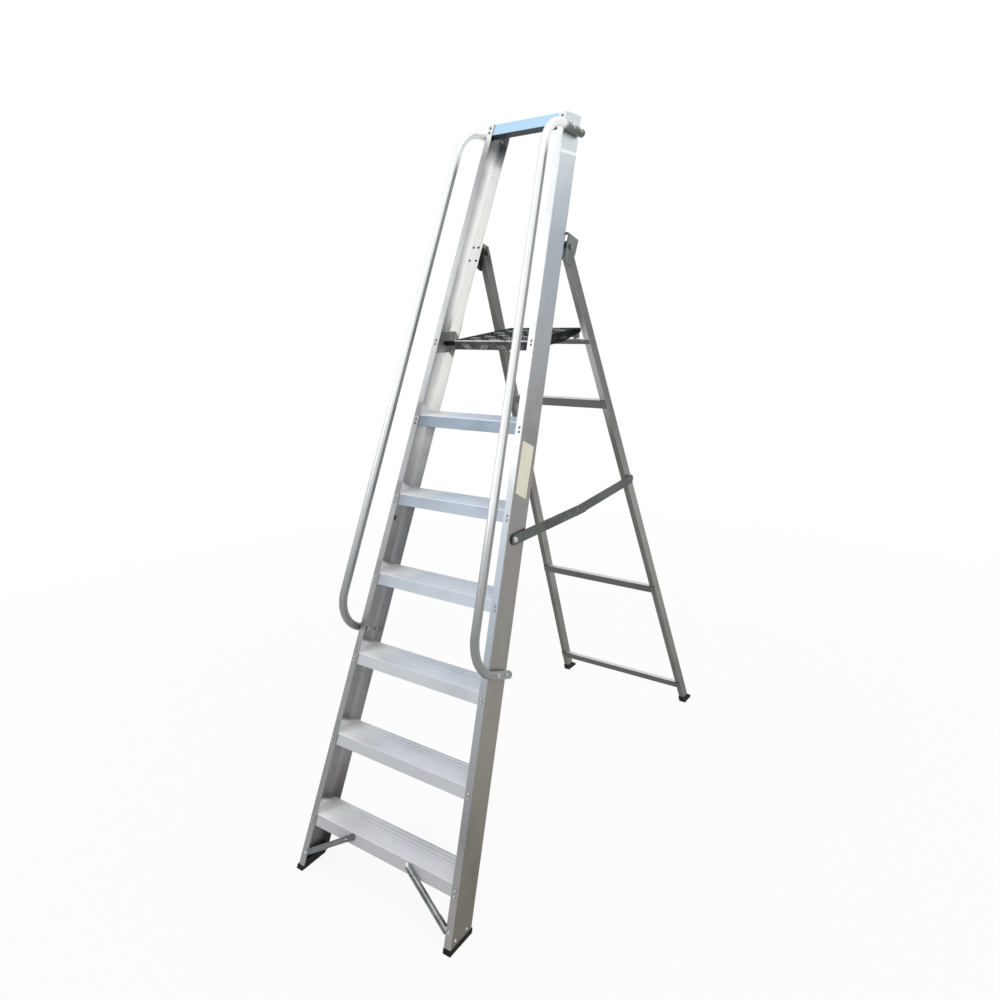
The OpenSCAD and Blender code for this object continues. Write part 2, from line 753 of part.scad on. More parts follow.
stile(-1);  // stile_left
stile(1);  // stile_right
tread_1();
tread_2();
tread_3();
tread_4();
tread_5();
tread_6();
top_bar();
handrail(-1);  // handrail_left
handrail(1);  // handrail_right
handrail_bolts();
foot_front(-1);  // foot_front_left
foot_front(1);  // foot_front_right
foot_rivets();
brace(-1);  // brace_left
brace(1);  // brace_right
brace_bolts();
tread_rivets();
hinge_bracket(-1);  // hinge_bracket_left
hinge_bracket(1);  // hinge_bracket_right
bracket_rivets();
hinge_pin(-1);  // hinge_pin_left
hinge_pin(1);  // hinge_pin_right
platform_bracket(-1);  // platform_bracket_left
platform_bracket(1);  // platform_bracket_right
platform_pin(-1);  // platform_pin_left
platform_pin(1);  // platform_pin_right
stay_bolt_front();
stay_bolt_left();
leg(-1);  // leg_left
leg(1);  // leg_right
cross_bar_upper();
cross_bar_middle();
cross_bar_lower();
platform_rest();
foot_rear(-1);  // foot_rear_left
foot_rear(1);  // foot_rear_right
rear_rivets();
stay_bolt_rear();
platform_deck();
platform_hook(-1);  // platform_hook_left
platform_hook(1);  // platform_hook_right
platform_rivets();
stay_front_bar();
stay_rivets();
stay_rear_bar();
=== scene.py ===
# %% [markdown]
# # A platform step ladder
# The shapes of this ladder are solids that another tool has made and packed. This
# lesson loads them as a fixed frame, gives every piece the finish of the real metal,
# rubber and plate, and adds the few small forms that are easier to make as a mesh.

# %% load the frame
import math

import bmesh
import bpy
from mathutils import Matrix, Vector


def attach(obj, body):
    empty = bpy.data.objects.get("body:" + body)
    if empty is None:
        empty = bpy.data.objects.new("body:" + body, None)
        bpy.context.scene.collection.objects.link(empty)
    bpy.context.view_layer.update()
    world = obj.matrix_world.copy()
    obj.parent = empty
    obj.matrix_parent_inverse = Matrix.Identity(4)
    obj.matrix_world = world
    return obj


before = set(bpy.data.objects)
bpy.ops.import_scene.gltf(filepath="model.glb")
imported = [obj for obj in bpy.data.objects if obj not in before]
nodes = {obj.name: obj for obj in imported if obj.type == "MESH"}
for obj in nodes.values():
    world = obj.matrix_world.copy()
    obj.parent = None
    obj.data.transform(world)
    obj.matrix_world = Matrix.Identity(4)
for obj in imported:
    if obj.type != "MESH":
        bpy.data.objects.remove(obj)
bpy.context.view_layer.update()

scene = bpy.context.scene

# %% [markdown]
# ## The camera
# The ladder's parallel edges and equal tread heights fix where the photographer stood:
# at eye level, to the right of the front. The angles below come from that sum. A camera
# looks along its own -Z, so its rotation is built from the directions that point to its
# right, up and back.

# %% camera
eye = (1.41194, -2.10077, 1.66068)
turn, rise, roll = math.radians(35.6564), math.radians(14.1014), math.radians(-1.4133)
back = Vector((math.sin(turn) * math.cos(rise), -math.cos(turn) * math.cos(rise),
               math.sin(rise)))
level = Vector((math.cos(turn), math.sin(turn), 0.0))
above = back.cross(level)
right = level * math.cos(roll) + above * math.sin(roll)
up = above * math.cos(roll) - level * math.sin(roll)
aim = Matrix((right, up, back)).transposed().to_4x4()
camera = bpy.data.objects.new("camera", bpy.data.cameras.new("camera"))
scene.collection.objects.link(camera)
camera.matrix_world = Matrix.Translation(eye) @ aim
camera.data.lens, camera.data.sensor_width = 27.785, 36.0
camera.data.clip_start, camera.data.clip_end = 0.05, 100.0
scene.camera = camera
scene.view_settings.view_transform = "Standard"
print("camera at", [round(x, 3) for x in camera.location])

# %% [markdown]
# ## Frames of the leaning pieces
# The stiles lean back and towards each other, the rear legs lean forward and the
# platform is nearly level. One matrix for each of them lets a later step name a place in
# plain numbers, such as "40 mm in from the front of the web and 1.3 m up the slope".

# %% frames
tall, half_foot = 2.216, 0.3013
front_lean, rear_lean, taper = math.radians(21.74), math.radians(22.73), math.radians(3.8)
stile = Matrix.Translation((0.0, -0.82985, 0.0)) @ Matrix.Rotation(-front_lean, 4, "X")
right_side = stile @ Matrix.Translation((half_foot, 0.0, 0.0)) @ Matrix.Rotation(-taper, 4, "Y")
left_side = stile @ Matrix.Translation((-half_foot, 0.0, 0.0)) @ Matrix.Rotation(taper, 4, "Y")
hinge = stile @ Vector((0.0, 0.118, 2.017))
rear = Matrix.Translation(hinge) @ Matrix.Rotation(rear_lean, 4, "X")
deck_pins, deck_tilt = (0.0, -0.152793, 1.549426), math.radians(4.7)
deck = Matrix.Translation(deck_pins) @ Matrix.Rotation(deck_tilt, 4, "X")
print("hinge at", [round(x, 4) for x in hinge])

# %% [markdown]
# ## Writing shader sums as sums
# A material is a web of small nodes. Joining them by hand hides the idea, so one small
# class wraps a socket: plain arithmetic on it adds the Math nodes, and `node` adds any
# other node from its type, its settings and the values or links of its sockets. A key
# such as `i6` is a socket's number, for nodes that have several sockets of one name.


# %% sockets that can be added and multiplied
class Wire:
    def __init__(self, tree, socket):
        self.tree, self.socket = tree, socket

    def node(self, kind, settings=None, out=0, **inputs):
        made = self.tree.nodes.new(kind)
        for key, value in (settings or {}).items():
            if key == "stops":
                self.set_stops(made.color_ramp.elements, value)
            else:
                setattr(made, key, value)
        for key, value in inputs.items():
            numbered = key[0] == "i" and key[1:].isdigit()
            self.feed(made.inputs[int(key[1:]) if numbered else key.replace("_", " ")], value)
        return Wire(self.tree, made.outputs[out])

    def set_stops(self, stops, wanted):
        while len(stops) < len(wanted):
            stops.new(0.5)
        while len(stops) > len(wanted):
            stops.remove(stops[-1])
        for stop, (position, colour) in zip(stops, wanted):
            stop.position, stop.color = position, colour

    def feed(self, socket, value):
        if isinstance(value, Wire):
            self.tree.links.new(value.socket, socket)
        else:
            socket.default_value = value

    def maths(self, operation, *values, **settings):
        numbered = {f"i{k}": value for k, value in enumerate(values)}
        return self.node("ShaderNodeMath", {"operation": operation, **settings}, **numbered)

    def __add__(self, other):
        return self.maths("ADD", self, other)

    def __sub__(self, other):
        return self.maths("SUBTRACT", self, other)

    def __rsub__(self, other):
        return self.maths("SUBTRACT", other, self)

    def __mul__(self, other):
        return self.maths("MULTIPLY", self, other)

    __radd__, __rmul__ = __add__, __mul__

    def fraction(self):
        return self.maths("FRACT", self)

    def size(self):
        return self.maths("ABSOLUTE", self)

    def clip(self):
        return self.maths("ADD", self, 0.0, use_clamp=True)

    def band(self, low, high):
        """0 below low, 1 above high and a smooth step between them."""
        smooth = {"interpolation_type": "SMOOTHSTEP"}
        return self.node("ShaderNodeMapRange", smooth, Value=self, From_Min=low, From_Max=high)

    def fade(self, low, high):
        """1 below low, 0 above high and a smooth step between them."""
        return 1.0 - self.band(low, high)

    def mix(self, kind, share, first, second):
        colours = {"data_type": "RGBA", "blend_type": kind}
        return self.node("ShaderNodeMix", colours, out=2, i0=share, i6=first, i7=second)

    def blend(self, first, second):
        """The first colour where this value is 0, the second where it is 1."""
        return self.mix("MIX", self, first, second)

    def tint(self, other):
        """This colour times the other."""
        return self.mix("MULTIPLY", 1.0, self, other)


print("wires ready")


# %% places
def start_material(name):
    made = bpy.data.materials.new(name)
    made.use_nodes = True
    place = Wire(made.node_tree, None).node("ShaderNodeTexCoord", out="Object")
    return made, made.node_tree.nodes["Principled BSDF"], place


def noise(place, scale, detail=3.0, stretch=(1.0, 1.0, 1.0), lean=0.0):
    moved = place.node("ShaderNodeMapping", {"vector_type": "TEXTURE"}, Vector=place,
                       Rotation=(lean, 0.0, 0.0), Scale=stretch)
    return place.node("ShaderNodeTexNoise", Vector=moved, Scale=scale, Detail=detail)


def along(place, where, axis):
    """How far a place lies along one axis of a frame, in metres."""
    way = where.to_3x3().col[axis]
    dot = {"operation": "DOT_PRODUCT"}
    length = place.node("ShaderNodeVectorMath", dot, out="Value", i0=place, i1=way)
    return length - way.dot(where.translation)


def height(place):
    return along(place, Matrix(), 2)


def behind_front(place):
    """How far a place lies behind the front of the stiles."""
    return along(place, stile, 1)


print("a place can be measured from the floor, a stile, a leg or the platform")


# %% colours
def grey(value):
    return (value, value, value, 1.0)


def shade(colour, share=1.0):
    return (*(part * share for part in colour), 1.0)


def clouded(cloud, colour, low, high):
    """A colour that drifts from a darker to a lighter share of itself."""
    return cloud.band(0.3, 0.7).blend(shade(colour, low), shade(colour, high))


def by_height(place, tones):
    """A ramp over the height above the floor; tones are (metres, colour) pairs."""
    stops = [(metres / tall, shade(colour)) for metres, colour in tones]
    return place.node("ShaderNodeValToRGB", {"stops": stops}, i0=height(place) * (1.0 / tall))


def set_surface(surface, colour, rough, relief, strength, deep):
    """Feed the three sockets that vary over every finish here."""
    colour.feed(surface.inputs["Base Color"], colour)
    colour.feed(surface.inputs["Roughness"], rough.clip())
    bump = colour.node("ShaderNodeBump", Strength=strength, Distance=deep, Height=relief)
    colour.feed(surface.inputs["Normal"], bump)


print("ramps run up to", tall, "m")

# %% [markdown]
# ## Mill aluminium
# The stiles, treads and rails are drawn through a die and never painted. Fine lines run
# along each length, patches of handling dull the shine, and the surface keeps small
# scratches. Noise that is stretched along the piece gives the lines; a `lean` turns them
# to run up the sloping stiles. The colour is a ramp over the height, and it is painted
# light: it stands in for the ground and the sky that each height mirrors and for the shade
# that falls there.
#
# `faces` lists the parts of a piece that look different, such as a stile's front edge or
# a tread's top: each is a mask with a ramp of its own, and most of these ramps paint the
# light or shade that the face gets. Two more masks paint light: one makes places matte
# and pale, so that they gather light instead of mirroring the room, and one marks a
# painted highlight, where the colour keeps none of the grain and handling tints and the
# surface is smoother.

# %% mill aluminium
up_grain, level_grain = (1.0, 1.0, 26.0), (30.0, 1.0, 1.0)
line_scale, broad_scale, speck_scale, patch_scale = 260.0, 60.0, 420.0, 5.5
glow_metal, highlight_gain = 0.05, 0.2


def aluminium(name, tones, stretch, lean, rough, metal, dirt, faces=(), glow_patch=None, highlight=None):
    made, surface, place = start_material(name)
    lines = noise(place, line_scale, 2.0, stretch, lean)
    broad = noise(place, broad_scale, 2.0, stretch, lean)
    specks = noise(place, speck_scale, 2.0)
    dull = noise(place, patch_scale, 5.0).band(0.45, 0.75)
    # Painted light: the ramp over the height stands in for the ground and sky that each height
    # mirrors and the shade that falls there.
    colour = by_height(place, tones)
    for mask, other in faces:
        colour = mask(place).blend(colour, by_height(place, other))
    tone = lines * 0.16 + broad * 0.18 + specks * 0.05 + 0.4
    drawn = colour.tint(tone.clip().blend(grey(0.74), grey(1.14)))
    drawn = drawn.tint((dull * dirt).blend(grey(1.0), grey(0.55)))
    uneven = lines * 0.16 + dull * 0.14 + (rough - 0.1)
    # Painted highlight: the masked places keep the colour without grain or handling tints and are
    # smoother, so they render white.
    if highlight:
        highlit = highlight(place)
        drawn, uneven = highlit.blend(drawn, colour), uneven - highlit * highlight_gain
    set_surface(surface, drawn, uneven, lines * 0.7 + broad * 0.5, 0.12, 0.0006)
    surface.inputs["Metallic"].default_value = metal
    # Painted light: the masked places are made nearly non-metallic, so they look pale and lit.
    if glow_patch:
        place.feed(surface.inputs["Metallic"], glow_patch(place) * (glow_metal - metal) + metal)
    return made


print("lines of about", round(1000.0 / line_scale, 1), "mm across the grain")

# %% [markdown]
# ## Masks
# A mask is a number from 0 to 1 that says how much a place belongs to one face. Painting
# it by hand would need a texture; here it is worked out from the place, so it is sharp
# at any distance. A smooth step over less than a millimetre picks a flat face, such as
# the front of the stiles, and a step over centimetres makes a soft change of light.


# %% masks of the stiles
def stile_front(place):
    return behind_front(place).fade(0.0008, 0.0016)


def stile_inside(place):
    return along(place, left_side, 0).band(0.0010, 0.0018)


def inside_front(place):
    return stile_inside(place) * behind_front(place).fade(0.0, 0.08)


def inside_low(place):
    front = behind_front(place).fade(0.05, 0.075)
    return stile_inside(place) * front * height(place).fade(1.0, 1.35)


# Painted highlight on the upper inside of the left stile, towards its rear.
def inside_highlight(place):
    reach = height(place).band(1.3, 1.5) * height(place).fade(2.09, 2.12)
    return stile_inside(place) * reach * behind_front(place).band(0.042, 0.066)


# A thin white band across the upper web of the right stile.
def web_mark(place):
    return height(place).band(2.0962, 2.0972) * height(place).fade(2.1047, 2.1057)


print("masks for the front, the inside and the marked web of the stiles")

# %% [markdown]
# The treads repeat at one pitch, so the fraction of the height over that pitch tells how
# far a place is above the tread below it. That gives all tops at once, the patches of
# painted light which the tops throw on the left web, and the dirt that stays behind each
# rib.

# %% masks of the treads
first_tread, tread_pitch = 0.164, 0.235
first_rib, rib_pitch = 0.04415, 0.012217
patch_slope = 0.53


def above_tread(place, sink):
    return ((height(place) - (first_tread - sink)) * (1.0 / tread_pitch)).fraction()


def tread_top(place):
    return above_tread(place, 0.0025).fade(0.016, 0.018)


# Painted light: the ends of the tread tops by the left stile are painted pale.
def tread_end(place):
    return tread_top(place) * along(place, left_side, 0).fade(0.05, 0.17)


# Painted light: pale patches on the left web just above each tread.
def web_glow(place):
    up_web = above_tread(place, 0.004) * tread_pitch
    patch = (up_web + behind_front(place) * patch_slope).fade(0.036, 0.048)
    return stile_inside(place) * patch * height(place).fade(1.40, 1.44)


def rib_dirt(place):
    depth = behind_front(place)
    ribs = (depth - (first_rib - 0.5 * rib_pitch)) * (1.0 / rib_pitch)
    off_rib = (ribs.fraction() - 0.5) * rib_pitch
    line = off_rib.band(0.0010, 0.0016) * off_rib.fade(0.0030, 0.0038)
    worn = noise(place, 14.0, 4.0, level_grain).band(0.36, 0.52)
    ends = along(place, left_side, 0).band(0.05, 0.16)
    return tread_top(place) * depth.band(0.040, 0.070) * line * worn * ends


print("treads every", round(tread_pitch * 1000), "mm, ribs every", round(rib_pitch * 1000, 1), "mm")

# %% [markdown]
# The tube of a handrail is darker along the side that is turned from the light, so its
# mask is measured across the tube from its middle line. Bars and legs have flat faces.

# %% masks of the rails, bars and legs
bar_foot = 2.3499
rail_out, right_ahead, left_ahead = 0.0127, 0.109, 0.089


def rail_edge(place, side, x, y):
    across = (along(place, side, 0) - x) * 0.81 + (along(place, side, 1) - y) * 0.54
    return across.band(0.003, 0.007) * height(place).fade(2.06, 2.12)


def right_edge(place):
    return rail_edge(place, right_side, rail_out, -right_ahead)


def left_edge(place):
    return rail_edge(place, left_side, -rail_out, -left_ahead)


# Painted shade: the top end of the right handrail is painted dark where it lies in shadow.
def rail_end(place):
    return behind_front(place).band(-0.035, -0.01) * along(place, stile, 2).band(2.2, 2.25)


def bar_underside(place):
    return along(place, stile, 2).fade(bar_foot, bar_foot + 0.0006)


def bar_flange(place):
    return along(place, rear, 1).band(-0.0185, -0.0181)


def leg_front(place):
    return along(place, rear, 1).fade(-0.0183, -0.0176)


print("rails stand", round(right_ahead * 1000), "and", round(left_ahead * 1000), "mm ahead")

# %% [markdown]
# ## Tones of the aluminium
# Each face needs only a few stops, because the colour changes slowly from the foot to the
# top. Most of these ramps paint light: they stand in for the ground and sky that a face
# mirrors and the shade that falls on it. The upper inside of the left stile faces the
# light and is painted nearly white; its front half and the corner below the top bar carry
# painted shade. The fronts of the upper treads and the top bar carry a painted reflection
# of the sky, tinted blue.

# %% stiles
# Painted light: the right web darkens towards the foot and turns pale blue at the top, as it
# mirrors ground and sky; its front edge is painted bright higher up.
right_web = [
    (0.1, (0.17, 0.156, 0.127)), (0.5, (0.265, 0.25, 0.22)), (1.3, (0.282, 0.278, 0.275)),
    (1.85, (0.37, 0.42, 0.465)), (2.0, (0.53, 0.59, 0.645)), (2.13, (0.70, 0.755, 0.785))]
right_front = [
    (0.1, (0.32, 0.31, 0.31)), (0.3, (0.285, 0.285, 0.29)), (0.9, (0.45, 0.49, 0.55)),
    (1.1, (0.45, 0.475, 0.49)), (1.25, (0.62, 0.632, 0.64)), (1.9, (0.70, 0.715, 0.725)),
    (2.05, (0.82, 0.84, 0.85))]
white_band = [(1.0, (0.95, 0.97, 0.97))]
# Painted light on the left stile: its inside towards the rear is painted nearly white high up,
# while the part near the front edge and the low front corner carry painted shade.
left_web = [(0.05, (0.17, 0.165, 0.15)), (1.2, (0.28, 0.28, 0.275)), (2.0, (0.40, 0.41, 0.42))]
left_front = [
    (0.08, (0.31, 0.31, 0.30)), (0.25, (0.27, 0.27, 0.27)), (1.0, (0.42, 0.423, 0.428)),
    (1.25, (0.38, 0.385, 0.40)), (1.75, (0.56, 0.56, 0.565)), (2.12, (0.42, 0.42, 0.44)),
    (2.16, (0.80, 0.81, 0.80))]
left_rear = [
    (0.1, (0.20, 0.195, 0.19)), (0.3, (0.54, 0.53, 0.53)), (1.05, (0.51, 0.52, 0.53)),
    (1.35, (0.97, 0.97, 0.95)), (2.10, (0.97, 0.97, 0.96)), (2.15, (0.24, 0.24, 0.24))]
left_near_shade = [
    (0.1, (0.14, 0.135, 0.13)), (0.3, (0.24, 0.24, 0.24)), (2.10, (0.27, 0.27, 0.27)),
    (2.15, (0.08, 0.08, 0.08))]
left_low_shade = [(0.1, (0.14, 0.135, 0.13)), (0.3, (0.23, 0.23, 0.23))]
tread_bright = [(0.15, (0.96, 0.96, 0.97))]
right_faces = [(web_mark, white_band), (stile_front, right_front)]
left_faces = [
    (stile_inside, left_rear), (inside_front, left_near_shade), (inside_low, left_low_shade),
    (web_glow, tread_bright), (stile_front, left_front)]
stile_look = {"stretch": up_grain, "lean": -front_lean, "rough": 0.38, "metal": 0.85, "dirt": 0.3}
finish = {
    "stile_right": aluminium("stile_right", right_web, faces=right_faces, **stile_look),
    "stile_left": aluminium("stile_left", left_web, faces=left_faces, glow_patch=web_glow,
                            highlight=inside_highlight, **stile_look),
}
print("stiles:", ", ".join(finish))

# %% treads and top bar
# Painted reflection: the tread fronts turn bluer and darker higher up, as they mirror the sky.
tread_tones = [
    (0.15, (0.49, 0.50, 0.52)), (0.63, (0.565, 0.595, 0.63)), (0.9, (0.525, 0.575, 0.64)),
    (1.34, (0.29, 0.345, 0.415))]
# Painted light: the tread tops are lighter than the fronts, as they face the light, and bluer
# higher up.
tread_top_light = [(0.15, (0.72, 0.735, 0.775)), (1.4, (0.61, 0.69, 0.79))]
tread_dirt = [(0.2, (0.33, 0.335, 0.352)), (0.35, (0.25, 0.27, 0.30))]
# Painted reflection: the top bar's blue is the sky it mirrors; its underside carries painted shade.
top_tones, top_underside_shade = [(2.0, (0.46, 0.66, 0.84))], [(2.0, (0.055, 0.065, 0.075))]
tread_faces = [(tread_top, tread_top_light), (rib_dirt, tread_dirt), (tread_end, tread_bright)]
tread_look = {"stretch": level_grain, "lean": 0.0, "rough": 0.5, "metal": 0.75, "dirt": 0.15}
top_look = {"stretch": level_grain, "lean": 0.0, "rough": 0.45, "metal": 0.75, "dirt": 0.1}
finish["tread"] = aluminium("tread_aluminium", tread_tones, faces=tread_faces, glow_patch=tread_end,
                            **tread_look)
finish["top_bar"] = aluminium("top_bar_aluminium", top_tones,
                              faces=[(bar_underside, top_underside_shade)], **top_look)
print("tread and top bar finishes made")

# %% handrails
# Painted light: the handrails are grey at the foot and painted nearly white above, where they
# mirror the bright sky.
left_rail = [
    (0.8, (0.27, 0.273, 0.277)), (1.42, (0.88, 0.89, 0.90)), (2.1, (0.91, 0.915, 0.92))]
right_rail = [
    (0.82, (0.26, 0.263, 0.267)), (1.03, (0.52, 0.525, 0.53)), (1.16, (0.88, 0.89, 0.90)),
    (2.1, (0.91, 0.915, 0.92))]
rail_shade = [(0.8, (0.27, 0.272, 0.274))]
rail_end_shade = [(2.16, (0.10, 0.105, 0.095)), (2.185, (0.45, 0.46, 0.45))]
right_rail_faces = [(right_edge, rail_shade), (rail_end, rail_end_shade)]
rail_look = {"stretch": up_grain, "lean": -front_lean, "rough": 0.34, "metal": 0.85, "dirt": 0.15}
finish["rail_left"] = aluminium("rail_left", left_rail, faces=[(left_edge, rail_shade)],
                                **rail_look)
finish["rail_right"] = aluminium("rail_right", right_rail, faces=right_rail_faces, **rail_look)
print("handrails, grey at the foot and nearly white above")

# %% rear frame
# Painted light and shade: these ramps follow the light and shade along the rear legs, with ramps of
# their own for the fronts.
right_leg = [
    (0.1, (0.175, 0.172, 0.155)), (0.35, (0.20, 0.20, 0.185)), (0.65, (0.27, 0.268, 0.245)),
    (1.0, (0.28, 0.285, 0.27)), (1.5, (0.148, 0.15, 0.148))]
right_leg_front = [
    (0.1, (0.155, 0.153, 0.145)), (1.2, (0.15, 0.15, 0.145)), (1.4, (0.47, 0.47, 0.47)),
    (1.7, (0.56, 0.56, 0.55)), (1.8, (0.22, 0.22, 0.22))]
left_leg = [
    (0.2, (0.18, 0.18, 0.173)), (0.65, (0.27, 0.267, 0.25)), (1.0, (0.245, 0.242, 0.225)),
    (1.65, (0.15, 0.15, 0.148)), (1.77, (0.165, 0.165, 0.16)), (1.81, (0.08, 0.08, 0.074))]
left_leg_front = [
    (0.1, (0.14, 0.138, 0.13)), (1.6, (0.12, 0.12, 0.117)), (1.72, (0.165, 0.165, 0.16)),
    (1.81, (0.075, 0.075, 0.069))]
# Painted light: the cross bars' top flange is painted pale, as it faces the light, above a face
# painted dark in its shade.
bar_tones = [(0.4, (0.11, 0.11, 0.108)), (1.35, (0.145, 0.145, 0.143))]
bar_top_light = [(0.1, (0.56, 0.57, 0.58))]
leg_look = {"stretch": up_grain, "lean": rear_lean, "rough": 0.42, "metal": 0.8, "dirt": 0.35}
bar_look = {"stretch": level_grain, "lean": 0.0, "rough": 0.42, "metal": 0.8, "dirt": 0.3}
finish["leg_right"] = aluminium("leg_right", right_leg, faces=[(leg_front, right_leg_front)],
                                **leg_look)
finish["leg_left"] = aluminium("leg_left", left_leg, faces=[(leg_front, left_leg_front)],
                               **leg_look)
finish["bar"] = aluminium("bar_aluminium", bar_tones, faces=[(bar_flange, bar_top_light)], **bar_look)
print(len(finish), "aluminium finishes")

# %% [markdown]
# ## Steel, zinc and rubber
# The hinge angles and the stay are dark steel with a thin passivated skin, which clouds
# and rubs bright in places. Braces, bolts and rivets are zinc plated: bright, faintly
# blue, with a fine frosted grain. A pressed brace carries painted shade along its two
# rims, and a rivet round its foot. Some copies of these finishes differ only by painted
# light or shade: a shaded angle, lighter platform brackets, a darker left brace and
# darker rivets higher up. The boots are moulded rubber, nearly black and matte, with dust
# in a soft pattern.


# %% dark steel
def dark_steel(name, colour):
    made, surface, place = start_material(name)
    cloud = noise(place, 14.0, 6.0)
    grain = noise(place, 320.0, 3.0)
    rub = noise(place, 45.0, 5.0, (1.0, 1.0, 3.0)).band(0.56, 0.74)
    base = clouded(cloud, colour, 0.72, 1.3)
    rubbed = (rub * 0.35).blend(base, (0.34, 0.36, 0.35, 1.0))
    uneven = cloud * 0.3 + grain * 0.12 + 0.24 - rub * 0.12
    set_surface(surface, rubbed, uneven, grain, 0.15, 0.0004)
    surface.inputs["Metallic"].default_value = 0.7
    return made


finish["steel"] = dark_steel("dark_steel", (0.15, 0.17, 0.17))
finish["stay"] = dark_steel("stay_steel", (0.085, 0.095, 0.089))
# Painted light and shade: shaded_steel is a copy for the left hinge angle, which lies in shade, and
# bracket_steel a lighter copy for the platform's brackets, which catch the light.
finish["shaded"] = dark_steel("shaded_steel", (0.15, 0.156, 0.14))
finish["bracket"] = dark_steel("bracket_steel", (0.245, 0.25, 0.255))
print("steel for the angles, the stay and the platform's brackets")


# %% zinc plate
def zinc_plate(name, colour, rim=None, dark=0.18, upper=1.0):
    """Zinc; dark is the share left at a rim, upper the share left from the fifth tread up."""
    made, surface, place = start_material(name)
    frost = noise(place, 240.0, 4.0)
    cloud = noise(place, 22.0, 4.0)
    base = clouded(cloud, colour, 0.8, 1.2)
    if rim:
        base = base.tint(rim(place).blend(grey(1.0), grey(dark)))
    if upper < 1.0:
        base = base.tint(height(place).band(0.9, 1.25).blend(grey(1.0), grey(upper)))
    set_surface(surface, base, frost * 0.2 + cloud * 0.12 + 0.2, frost, 0.1, 0.0003)
    surface.inputs["Metallic"].default_value = 0.9
    return made


brace_across, brace_up = -0.172, 0.1105
brace_turn = Matrix.Rotation(-math.atan2(brace_up, brace_across), 4, "Y")
quarter = Matrix.Rotation(math.radians(90.0), 4, "X")
brace = stile @ Matrix.Translation((0.281, 0.0, 0.0535)) @ brace_turn @ quarter


# Painted shade along both rims of a pressed brace.
def brace_rim(place):
    return along(place, brace, 1).size().band(0.0046, 0.0066)


# Painted shade round the foot of each rivet on the front of the stiles.
def rivet_rim(place):
    return behind_front(place).band(-0.0021, -0.0013)


finish["zinc"] = zinc_plate("zinc_plate", (0.50, 0.54, 0.55))
# Painted shade: the rivets from the fifth tread up are painted darker.
finish["rivet"] = zinc_plate("rivet_zinc", (0.52, 0.54, 0.54), rivet_rim, upper=0.45)
finish["bolt"] = zinc_plate("bolt_zinc", (0.36, 0.38, 0.38))
finish["dull"] = zinc_plate("dull_zinc", (0.19, 0.19, 0.185))
# Painted light: the right brace is bright, with painted shade on its rims; the left brace, in
# shade, is painted dark.
finish["brace_right"] = zinc_plate("brace_right", (0.80, 0.83, 0.83), brace_rim, 0.36)
finish["brace_left"] = zinc_plate("brace_left", (0.16, 0.17, 0.18))
print("braces", round(math.hypot(brace_across, brace_up) * 1000), "mm long")


# %% rubber and nylon
def moulded(name, colour, dust, rough):
    made, surface, place = start_material(name)
    pores = noise(place, 700.0, 2.0)
    film = noise(place, 18.0, 5.0).band(0.45, 0.8)
    dusty = (film * dust).blend(shade(colour), (0.20, 0.19, 0.17, 1.0))
    set_surface(surface, dusty, pores * 0.15 + film * 0.1 + rough, pores, 0.25, 0.0004)
    surface.inputs["Specular IOR Level"].default_value = 0.2
    return made


finish["rubber"] = moulded("boot_rubber", (0.006, 0.006, 0.006), 0.06, 0.6)
finish["nylon"] = moulded("bush_nylon", (0.010, 0.010, 0.011), 0.05, 0.4)
print("rubber for the boots, nylon for the platform's bushes")

# %% [markdown]
# ## Chequer plate
# The platform is a bent sheet of chequer plate: dark and dirty between the raised bars,
# bright where shoes rub the bars, and bright along the worn bend at its front, where a
# highlight is painted. The bend is found from the distance to two faces of the sheet,
# measured in the platform's own frame. The sheet behind the front flange, with the top,
# is darker than the flange: `dim` is the share of the colour that is left there. Dirt is
# rough, so the plate mirrors less than its bars do.


# %% chequer plate
def chequer_plate(name, colour, worn, dim, rough):
    made, surface, place = start_material(name)
    cloud = noise(place, 30.0, 5.0)
    grain = noise(place, 380.0, 3.0)
    scuffs = noise(place, 90.0, 4.0, (1.0, 4.0, 1.0)).band(0.55, 0.8)
    from_pins, over_pins = along(place, deck, 1), along(place, deck, 2)
    # Painted highlight along the worn bend at the front.
    bend = from_pins.fade(-0.0105, -0.0075) * over_pins.band(0.0060, 0.0095)
    bend = bend * noise(place, 160.0, 2.0).band(0.25, 0.5)
    base = clouded(cloud, colour, 0.7, 1.35)
    base = base.tint(from_pins.fade(-0.0108, -0.0100).blend(grey(dim), grey(1.0)))
    rubbed = (scuffs * worn + bend).clip().blend(base, (0.88, 0.89, 0.90, 1.0))
    set_surface(surface, rubbed, grain * 0.2 + cloud * 0.2 + rough, grain, 0.15, 0.0005)
    surface.inputs["Metallic"].default_value = 0.15
    surface.inputs["Specular IOR Level"].default_value = 0.06
    return made


finish["plate"] = chequer_plate("chequer_plate", (0.105, 0.108, 0.110), 0.20, 0.22, 0.68)
finish["bars"] = chequer_plate("chequer_bars", (0.50, 0.51, 0.52), 0.5, 0.95, 0.35)
print(len(finish), "finishes so far")

# %% [markdown]
# ## Dressing the solids
# Every solid has the name of its piece, so a short table of name beginnings is enough to
# hand out the finishes. The first row that fits counts, so longer beginnings come before
# shorter ones. The solids' own meshes are left as they are.

